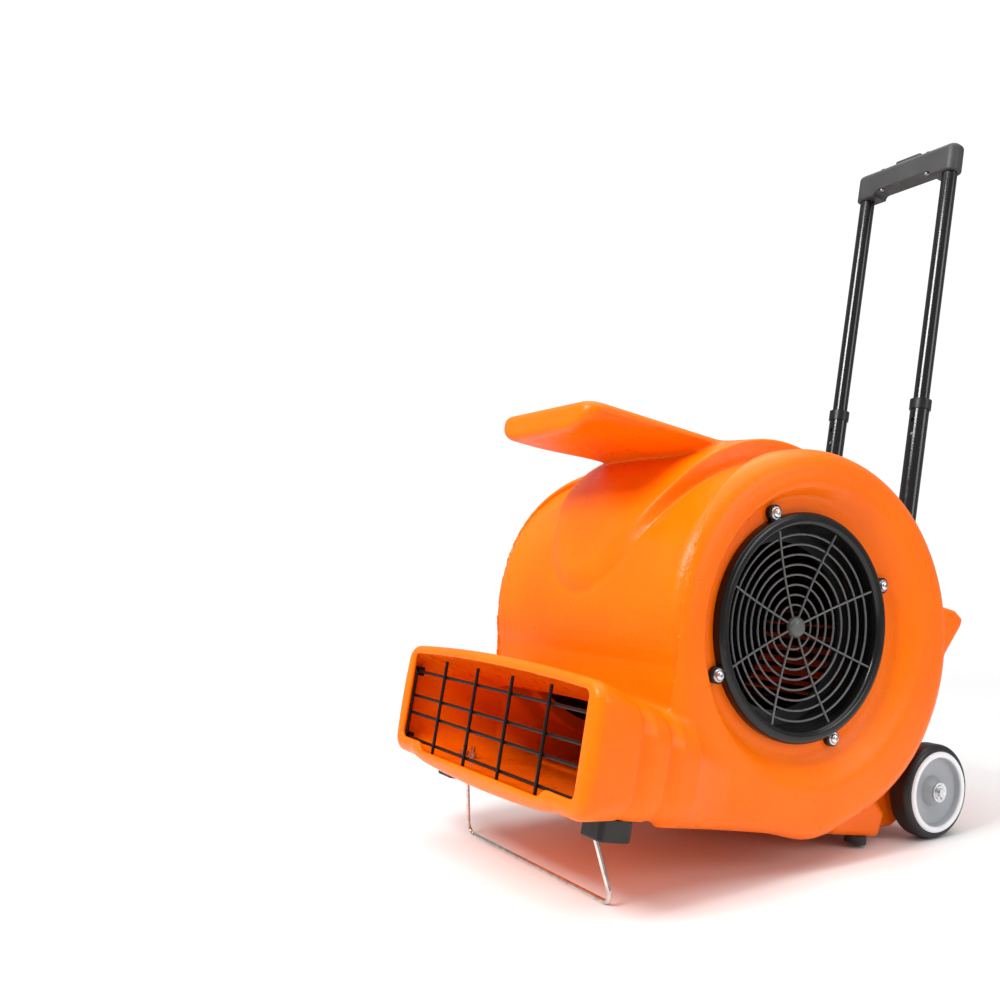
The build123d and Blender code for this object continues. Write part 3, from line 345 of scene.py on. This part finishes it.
# ---------------------------------------------------------------- materials
class Look:
    """A Principled material and the small node groups that give it grain, wear and variation."""

    def __init__(self, name):
        self.material = bpy.data.materials.new(name)
        self.material.use_nodes = True
        self.nodes = self.material.node_tree.nodes
        self.links = self.material.node_tree.links
        self.shader = self.nodes["Principled BSDF"]
        self.place = self.nodes.new("ShaderNodeTexCoord").outputs["Object"]
        self.bump = None

    def set(self, **values):
        for name, value in values.items():
            self.shader.inputs[name.replace("_", " ")].default_value = value
        return self

    def noise(self, per_metre, detail=2.0, stretch=None):
        """Noise at a number of features per metre, drawn out along an axis if asked."""
        texture = self.nodes.new("ShaderNodeTexNoise")
        texture.inputs["Scale"].default_value = per_metre
        texture.inputs["Detail"].default_value = detail
        place = self.place
        if stretch:
            mapping = self.nodes.new("ShaderNodeMapping")
            mapping.inputs["Scale"].default_value = stretch
            self.links.new(place, mapping.inputs["Vector"])
            place = mapping.outputs["Vector"]
        self.links.new(place, texture.inputs["Vector"])
        return texture.outputs["Fac"]

    def cells(self, per_metre):
        texture = self.nodes.new("ShaderNodeTexVoronoi")
        texture.feature = "SMOOTH_F1"
        texture.inputs["Scale"].default_value = per_metre
        self.links.new(self.place, texture.inputs["Vector"])
        return texture.outputs["Distance"]

    def spread(self, value, low, high, start=0.35, stop=0.65):
        """A texture value mapped to a range."""
        node = self.nodes.new("ShaderNodeMapRange")
        for name, number in (("From Min", start), ("From Max", stop), ("To Min", low), ("To Max", high)):
            node.inputs[name].default_value = number
        self.links.new(value, node.inputs["Value"])
        return node.outputs["Result"]

    def colours(self, value, first, second):
        node = self.nodes.new("ShaderNodeMix")
        node.data_type = "RGBA"
        node.inputs["A"].default_value = (*first, 1)
        node.inputs["B"].default_value = (*second, 1)
        self.links.new(value, node.inputs["Factor"])
        return node.outputs["Result"]

    def relief(self, value, depth, strength=1.0):
        """Bump of a real depth in metres, laid over any earlier bump."""
        node = self.nodes.new("ShaderNodeBump")
        node.inputs["Strength"].default_value = strength
        node.inputs["Distance"].default_value = depth
        self.links.new(value, node.inputs["Height"])
        if self.bump:
            self.links.new(self.bump, node.inputs["Normal"])
        self.bump = node.outputs["Normal"]
        return self

    def drive(self, name, value):
        self.links.new(value, self.shader.inputs[name])
        return self

    def done(self):
        if self.bump:
            self.links.new(self.bump, self.shader.inputs["Normal"])
        return self.material


def rotomoulded_orange():
    """Polyethylene with pebble grain, faint flow mottling and a slightly uneven skin."""
    look = Look("rotomoulded_orange").set(Specular_IOR_Level=0.2, IOR=1.5, Subsurface_Weight=0.05)
    look.set(Subsurface_Radius=(1.0, 0.2, 0.02), Subsurface_Scale=0.003)
    blotch = look.spread(look.noise(9, 3), 0, 1)
    look.drive("Base Color", look.colours(blotch, (0.99, 0.155, 0.0), (1.0, 0.175, 0.0)))
    look.drive("Roughness", look.spread(look.noise(40, 4), 0.27, 0.36))
    look.relief(look.noise(14, 2), 0.0005, 0.5)
    look.relief(look.cells(430), 0.0004, 0.6)
    look.relief(look.noise(1500, 2), 0.00006, 0.5)
    return look.done()


def moulded(name, colour, rough, grain=900, depth=0.0001, lighter=1.8, sheen=0.5):
    """Injection-moulded plastic or rubber: fine grain, handled patches a little glossier."""
    look = Look(name).set(Roughness=rough, IOR=1.48, Specular_IOR_Level=sheen)
    worn = look.spread(look.noise(22, 4), 0, 1)
    bright = tuple(min(1.0, c * lighter) for c in colour)
    look.drive("Base Color", look.colours(worn, colour, bright))
    look.drive("Roughness", look.spread(look.noise(55, 4), rough * 0.8, min(1.0, rough * 1.25)))
    look.relief(look.noise(grain, 3), depth, 0.6)
    look.relief(look.noise(30, 2), depth * 2, 0.3)
    return look.done()


def coated(name, colour, rough, lighter=1.5, sheen=0.5):
    """Powder coat or enamel over steel: orange peel, thin grey rub marks."""
    look = Look(name).set(Roughness=rough, IOR=1.5, Specular_IOR_Level=sheen)
    rub = look.spread(look.noise(260, 5), 0, 1, 0.58, 0.75)
    bright = tuple(min(1.0, c * lighter) for c in colour)
    look.drive("Base Color", look.colours(rub, colour, bright))
    look.drive("Roughness", look.spread(look.noise(90, 3), rough * 0.85, rough * 1.2))
    look.relief(look.noise(500, 2), 0.00008, 0.6)
    return look.done()


def metal(name, colour, rough, drawn=(1.0, 1.0, 1.0), scratch=0.00002):
    """Plated or machined metal: drawn marks, dull spots, uneven polish."""
    look = Look(name).set(Metallic=1.0, Roughness=rough)
    dull = look.spread(look.noise(120, 4), 0, 1, 0.4, 0.7)
    darker = tuple(c * 0.72 for c in colour)
    look.drive("Base Color", look.colours(dull, colour, darker))
    look.drive("Roughness", look.spread(look.noise(300, 4, drawn), rough * 0.7, rough * 1.5))
    look.relief(look.noise(1400, 3, drawn), scratch, 0.5)
    return look.done()


def hub_grey():
    """Wheel plastic: silver-grey dish and a whiter outer rim, both lightly scuffed."""
    look = Look("hub_grey").set(Roughness=0.34, IOR=1.48)
    low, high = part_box("axle")
    centre = (low + high) / 2
    split = look.nodes.new("ShaderNodeSeparateXYZ")
    look.links.new(look.place, split.inputs["Vector"])
    flat = look.nodes.new("ShaderNodeCombineXYZ")
    look.links.new(split.outputs["Y"], flat.inputs["Y"])
    look.links.new(split.outputs["Z"], flat.inputs["Z"])
    reach = look.nodes.new("ShaderNodeVectorMath")
    reach.operation = "DISTANCE"
    reach.inputs[1].default_value = (0, centre.y, centre.z)
    look.links.new(flat.outputs["Vector"], reach.inputs[0])
    rim = look.spread(reach.outputs["Value"], 0, 1, 0.0452, 0.0462)
    look.drive("Base Color", look.colours(rim, (0.36, 0.38, 0.4), (0.86, 0.88, 0.9)))
    look.drive("Roughness", look.spread(look.noise(70, 4), 0.28, 0.4))
    return look.relief(look.noise(1100, 3), 0.00005, 0.6).done()


def build_finishes():
    """One material for each of the record's slots."""
    across, along = (0.08, 1.0, 1.0), (1.0, 1.0, 0.06)
    return {
        "orange_shell": rotomoulded_orange(),
        "black_ring": moulded("satin_black_ring", (0.005, 0.005, 0.005), 0.2, 500, 0.00003, 1.5, 0.4),
        "dark_wire": coated("grey_wire_coat", (0.1, 0.1, 0.1), 0.3),
        "black_wire": coated("black_wire_coat", (0.004, 0.004, 0.004), 0.34, 2.5, 0.3),
        "zinc": metal("zinc_plate", (0.74, 0.75, 0.76), 0.2),
        "stand_wire": metal("nickel_wire", (0.8, 0.76, 0.7), 0.1, across),
        "black_plastic": moulded("grained_black", (0.007, 0.007, 0.007), 0.36, 900, 0.0001, 1.8, 0.4),
        "motor_paint": coated("motor_enamel", (0.02, 0.021, 0.024), 0.3),
        "steel": metal("turned_steel", (0.56, 0.56, 0.55), 0.28, across),
        "switch_shell": moulded("switch_black", (0.022, 0.022, 0.023), 0.35),
        "foot_rubber": moulded("foot_rubber", (0.02, 0.02, 0.02), 0.7, 500, 0.0002),
        "grey_hub": hub_grey(),
        "tyre_rubber": moulded("tyre_rubber", (0.008, 0.008, 0.008), 0.36, 800, 0.00008, 1.8, 0.4),
        "black_tube": coated("tube_enamel", (0.006, 0.006, 0.006), 0.16, 2.0, 0.5),
        "dark_grip": moulded("grip_grain", (0.03, 0.03, 0.031), 0.45, 1000, 0.0002, 1.5),
    }


finishes = build_finishes()
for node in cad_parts.values():
    for place in node.material_slots:
        place.material = finishes[place.material.name]

shell = surface_from_field("shell")
shell.data.materials.append(finishes["orange_shell"])
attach(shell, "base")
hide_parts("housing")


# ---------------------------------------------------------------- floor, light and camera
def emitter(name, at, aim, size, power, colour=(1, 1, 1)):
    """Soft rectangular light that faces a point."""
    data = bpy.data.lights.new(name, "AREA")
    data.shape = "RECTANGLE"
    data.size, data.size_y = size
    data.energy = power
    data.color = colour
    lamp = bpy.data.objects.new(name, data)
    lamp.location = at
    lamp.rotation_euler = (Vector(aim) - Vector(at)).to_track_quat("-Z", "Y").to_euler()
    bpy.context.scene.collection.objects.link(lamp)
    return lamp


def build_floor():
    """Pale round floor whose edge fades into the backdrop."""
    bpy.ops.mesh.primitive_circle_add(vertices=96, radius=4.0, fill_type="NGON")
    floor = bpy.context.object
    floor.name = "floor"
    look = Look("pale_floor").set(Roughness=0.45, IOR=1.4, Specular_IOR_Level=0.3)
    look.shader.inputs["Base Color"].default_value = (0.9, 0.9, 0.9, 1)
    reach = look.nodes.new("ShaderNodeVectorMath")
    reach.operation = "LENGTH"
    look.links.new(look.place, reach.inputs[0])
    look.drive("Alpha", look.spread(reach.outputs["Value"], 1, 0, 0.9, 2.4))
    floor.data.materials.append(look.done())


def build_world():
    """White backdrop that lights the machine less than it shows."""
    world = bpy.data.worlds.new("studio")
    world.use_nodes = True
    nodes, links = world.node_tree.nodes, world.node_tree.links
    strength = nodes.new("ShaderNodeMapRange")
    strength.inputs["To Min"].default_value = 0.38
    strength.inputs["To Max"].default_value = 1.05
    seen = nodes.new("ShaderNodeLightPath").outputs["Is Camera Ray"]
    links.new(seen, strength.inputs["Value"])
    background = nodes["Background"]
    background.inputs["Color"].default_value = (1, 1, 1, 1)
    links.new(strength.outputs["Result"], background.inputs["Strength"])
    bpy.context.scene.world = world
    bpy.context.scene.view_settings.view_transform = "Standard"


CAMERA_AT = (1067.6, -919.2, -74.6)     # in the machine's own millimetres
CAMERA_TURN = (89.78, 0.33, 59.11)


def build_camera():
    """Level camera to the front right, at about the height of the machine's shoulder."""
    data = bpy.data.cameras.new("camera")
    data.sensor_width = 36.0
    data.lens = 36.72
    data.shift_x, data.shift_y = -0.0229, 0.0469
    camera = bpy.data.objects.new("camera", data)
    camera.location = row(*CAMERA_AT)
    camera.rotation_euler = [math.radians(angle) for angle in CAMERA_TURN]
    bpy.context.scene.collection.objects.link(camera)
    bpy.context.scene.camera = camera


build_floor()
build_world()
emitter("overhead", (0, 0, 3.2), (0, 0, 0), (4.5, 4.5), 112)
emitter("key", (0.3, -2.0, 2.1), (0, 0, 0.35), (0.8, 0.8), 60)
emitter("fill", (2.4, 1.2, 1.2), (0, 0, 0.35), (1.0, 1.4), 16)
build_camera()
